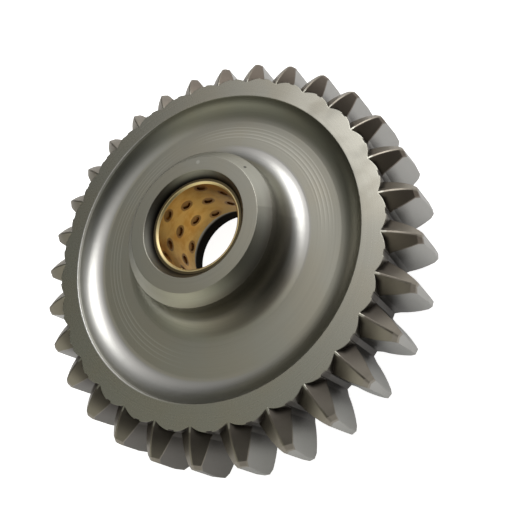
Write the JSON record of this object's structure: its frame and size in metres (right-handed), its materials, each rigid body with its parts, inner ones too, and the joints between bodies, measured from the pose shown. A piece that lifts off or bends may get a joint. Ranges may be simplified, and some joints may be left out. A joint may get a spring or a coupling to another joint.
{
  "type": "idler gear",
  "caption": "Straight-cut steel idler gear with pointed tooth ends on one side, a dished web, a long hub and a pressed bronze bush.",
  "frame": {"origin": "centre of the hub's back end face, which the gear rests on", "axes": "+Z along the bore axis towards the front, the side with the long hub and the pointed teeth; +X through the middle of a tooth"},
  "size_m": [0.1292, 0.1286, 0.0355],
  "materials": {
    "steel": "turned and ground steel, satin, faint circular tool marks",
    "bronze": "bored bronze, satin, with dark oil pockets"
  },
  "bodies": {
    "root": {"gear_wheel": "steel", "bush": "bronze"}
  },
  "joints": []
}
